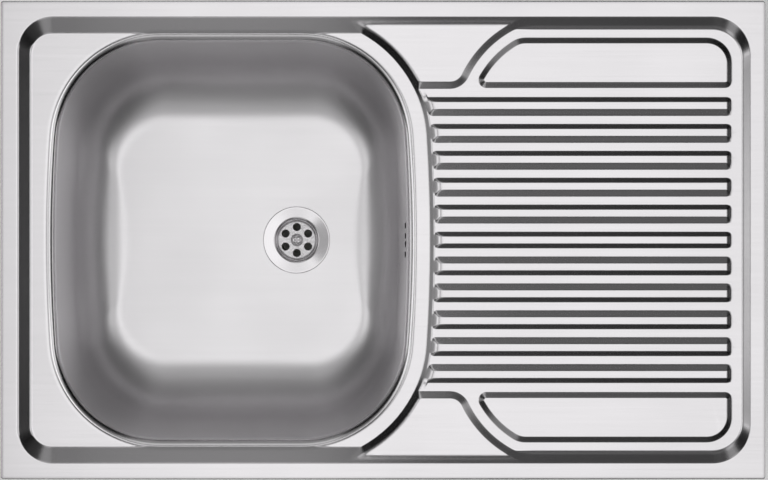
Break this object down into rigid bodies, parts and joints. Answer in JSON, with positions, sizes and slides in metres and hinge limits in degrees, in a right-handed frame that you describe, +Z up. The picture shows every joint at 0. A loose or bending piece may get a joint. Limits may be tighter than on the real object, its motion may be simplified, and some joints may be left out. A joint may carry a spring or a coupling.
{
  "type": "kitchen sink with drainboard",
  "caption": "Lay-on stainless kitchen sink with a deep bowl, a ribbed drainboard, bare tap ledges and its waste and overflow.",
  "frame": {"origin": "middle of the footprint, on the plane where the folded edge rests on its cabinet", "axes": "+X along the sink from the bowl to the drainboard, +Y from front to back, +Z up"},
  "size_m": [0.8, 0.5, 0.256],
  "materials": {
    "deck_steel": "brushed along the length, satin",
    "bowl_steel": "fine satin, deep drawn",
    "strainer_steel": "turned satin flange, dimpled plate",
    "fastener_steel": "bright stainless",
    "seal_rubber": "matt black",
    "white_plastic": "moulded polypropylene",
    "grey_plastic": "moulded polypropylene",
    "insert_brass": "turned",
    "pad_bitumen": "embossed sound-deadening sheet",
    "bracket_zinc": "zinc plated",
    "fastener_zinc": "yellow zinc plated"
  },
  "bodies": {
    "root": {"drainboard_deck": "deck_steel", "bowl": "bowl_steel", "strainer": "strainer_steel", "strainer_screw": "fastener_steel", "strainer_seal": "seal_rubber", "body_seal": "seal_rubber", "waste_body": "white_plastic", "screw_insert": "insert_brass", "overflow_gasket": "seal_rubber", "overflow_hood": "white_plastic", "overflow_studs": "fastener_steel", "overflow_nuts": "fastener_steel", "overflow_pipe": "white_plastic", "hood_union_washer": "seal_rubber", "hood_union_nut": "grey_plastic", "body_union_washer": "seal_rubber", "body_union_nut": "grey_plastic", "bowl_pad": "pad_bitumen", "drainboard_pad": "pad_bitumen", "fixing_brackets": "bracket_zinc", "bracket_screws": "fastener_zinc"}
  },
  "joints": []
}
